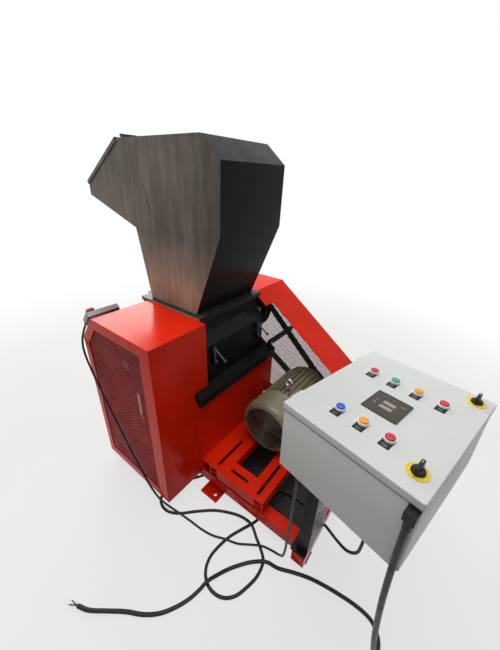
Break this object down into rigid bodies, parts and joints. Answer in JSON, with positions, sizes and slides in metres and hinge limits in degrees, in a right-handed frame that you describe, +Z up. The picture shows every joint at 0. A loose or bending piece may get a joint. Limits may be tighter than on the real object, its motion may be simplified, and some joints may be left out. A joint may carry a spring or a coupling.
{
  "type": "plastic granulator",
  "caption": "Workshop plastic granulator: belt driven knife rotor under a tilting feed hopper, with mesh guards, foot motor, granulate bin and a control cabinet on a pedestal.",
  "frame": {"origin": "centre of the rectangle of the four anchor holes, on the floor", "axes": "+X along the rotor from the flywheel to the belt drive, +Y to the feed side, +Z up"},
  "size_m": [1.571, 1.9204, 1.7045],
  "materials": {
    "red_paint": "sprayed gloss enamel with runs and light dust",
    "black_paint": "satin black enamel",
    "olive_paint": "semi gloss machine enamel",
    "cabinet_paint": "fine textured powder coat",
    "bare_steel": "machined",
    "zinc_steel": "zinc plated",
    "cast_iron": "as cast with turned faces",
    "belt_rubber": "matte",
    "cable_rubber": "satin sheath with dust",
    "seal_rubber": "foamed",
    "black_plastic": "moulded",
    "station_plastic": "moulded grey",
    "white_plastic": "moulded",
    "display_plastic": "dark front with two light windows",
    "yellow_plate": "printed disc",
    "blue_cap": "moulded",
    "orange_cap": "moulded",
    "red_cap": "moulded",
    "green_cap": "moulded"
  },
  "bodies": {
    "root": {"base_frame": "red_paint", "motor_base": "red_paint", "base_housing": "red_paint", "bed_plate": "black_paint", "end_plates": "black_paint", "chamber_walls": "black_paint", "front_cover": "black_paint", "bed_knives": "bare_steel", "screen": "bare_steel", "screen_cradle": "cast_iron", "bearings": "cast_iron", "drive_belts": "belt_rubber", "flywheel_guard": "red_paint", "flywheel_mesh": "red_paint", "belt_guard": "red_paint", "belt_mesh": "red_paint", "guard_stay": "black_paint", "motor_frame": "olive_paint", "motor_shields": "olive_paint", "fan_cowl": "olive_paint", "terminal_box": "olive_paint", "motor_fixings": "zinc_steel", "hopper_hinge": "bare_steel", "stop_station": "station_plastic", "pedestal": "black_paint", "cabinet_body": "cabinet_paint", "mounting_plate": "zinc_steel", "cable_glands": "black_plastic", "stop_cable": "cable_rubber", "supply_cable": "cable_rubber", "motor_cable": "cable_rubber"},
    "rotor": {"rotor_shaft": "bare_steel", "rotor_hub": "cast_iron", "rotor_knives": "bare_steel", "flywheel": "cast_iron", "rotor_pulley": "cast_iron"},
    "motor_rotor": {"motor_shaft": "bare_steel", "cooling_fan": "black_plastic", "motor_pulley": "cast_iron"},
    "hopper": {"hopper_shell": "black_paint"},
    "lid": {"feed_lid": "black_paint"},
    "bolt_left": {"swing_bolt_left": "bare_steel"},
    "bolt_right": {"swing_bolt_right": "bare_steel"},
    "bin": {"granulate_bin": "bare_steel"},
    "mushroom": {"estop_button": "red_cap"},
    "door": {"cabinet_door": "cabinet_paint", "door_gasket": "seal_rubber", "display_panel": "display_plastic", "legend_plates": "black_plastic", "button_bezels": "white_plastic", "cam_discs": "yellow_plate"},
    "cap_blue": {"button_blue": "blue_cap"},
    "cap_orange_near": {"button_orange_near": "orange_cap"},
    "cap_red_near": {"button_red_near": "red_cap"},
    "cap_red_far": {"button_red_far": "red_cap"},
    "cap_green": {"button_green": "green_cap"},
    "cap_orange_far": {"button_orange_far": "orange_cap"},
    "cap_red_corner": {"button_red_corner": "red_cap"},
    "knob_near": {"cam_knob_near": "black_plastic"},
    "knob_far": {"cam_knob_far": "black_plastic"}
  },
  "joints": [
    {"name": "rotor_spin", "type": "hinge", "parent": "root", "child": "rotor", "pos_m": [0, 0.05, 0.76], "axis": [1, 0, 0], "continuous": true},
    {"name": "motor_spin", "type": "hinge", "parent": "root", "child": "motor_rotor", "pos_m": [0, -0.464, 0.365], "axis": [1, 0, 0], "continuous": true},
    {"name": "hopper_tilt", "type": "hinge", "parent": "root", "child": "hopper", "pos_m": [0, 0.292, 0.96], "axis": [-1, 0, 0], "range_deg": [0, 75]},
    {"name": "lid_hinge", "type": "hinge", "parent": "hopper", "child": "lid", "pos_m": [0, 0.34235, 1.69748], "axis": [1, 0, 0], "range_deg": [0, 110]},
    {"name": "bolt_left_swing", "type": "hinge", "parent": "root", "child": "bolt_left", "pos_m": [-0.18, -0.205, 0.725], "axis": [1, 0, 0], "range_deg": [0, 100]},
    {"name": "bolt_right_swing", "type": "hinge", "parent": "root", "child": "bolt_right", "pos_m": [0.18, -0.205, 0.725], "axis": [1, 0, 0], "range_deg": [0, 100]},
    {"name": "bin_slide", "type": "slide", "parent": "root", "child": "bin", "axis": [0, 1, 0], "range_m": [0, 0.35]},
    {"name": "estop_press", "type": "slide", "parent": "root", "child": "mushroom", "axis": [0, -0.7433, -0.669], "range_m": [0, 0.005], "stiffness_N_per_m": 1500, "springref_m": -0.004},
    {"name": "door_hinge", "type": "hinge", "parent": "root", "child": "door", "pos_m": [-0.22221, -0.80391, 0.95882], "axis": [-0.9732, 0.2292, 0.0175], "range_deg": [0, 110]},
    {"name": "press_blue", "type": "slide", "parent": "door", "child": "cap_blue", "axis": [-0.025, -0.03, -0.9992], "range_m": [0, 0.004], "stiffness_N_per_m": 400, "springref_m": -0.002},
    {"name": "press_orange_near", "type": "slide", "parent": "door", "child": "cap_orange_near", "axis": [-0.025, -0.03, -0.9992], "range_m": [0, 0.004], "stiffness_N_per_m": 400, "springref_m": -0.002},
    {"name": "press_red_near", "type": "slide", "parent": "door", "child": "cap_red_near", "axis": [-0.025, -0.03, -0.9992], "range_m": [0, 0.004], "stiffness_N_per_m": 400, "springref_m": -0.002},
    {"name": "press_red_far", "type": "slide", "parent": "door", "child": "cap_red_far", "axis": [-0.025, -0.03, -0.9992], "range_m": [0, 0.004], "stiffness_N_per_m": 400, "springref_m": -0.002},
    {"name": "press_green", "type": "slide", "parent": "door", "child": "cap_green", "axis": [-0.025, -0.03, -0.9992], "range_m": [0, 0.004], "stiffness_N_per_m": 400, "springref_m": -0.002},
    {"name": "press_orange_far", "type": "slide", "parent": "door", "child": "cap_orange_far", "axis": [-0.025, -0.03, -0.9992], "range_m": [0, 0.004], "stiffness_N_per_m": 400, "springref_m": -0.002},
    {"name": "press_red_corner", "type": "slide", "parent": "door", "child": "cap_red_corner", "axis": [-0.025, -0.03, -0.9992], "range_m": [0, 0.004], "stiffness_N_per_m": 400, "springref_m": -0.002},
    {"name": "turn_near", "type": "hinge", "parent": "door", "child": "knob_near", "pos_m": [-0.48204, -1.11159, 0.99556], "axis": [-0.025, -0.03, -0.9992], "range_deg": [0, 90]},
    {"name": "turn_far", "type": "hinge", "parent": "door", "child": "knob_far", "pos_m": [-0.10534, -1.2044, 0.98893], "axis": [-0.025, -0.03, -0.9992], "range_deg": [0, 90]}
  ],
  "couplings": [
    {"joint": "motor_spin", "follows": "rotor_spin", "ratio": 1.7229}
  ]
}
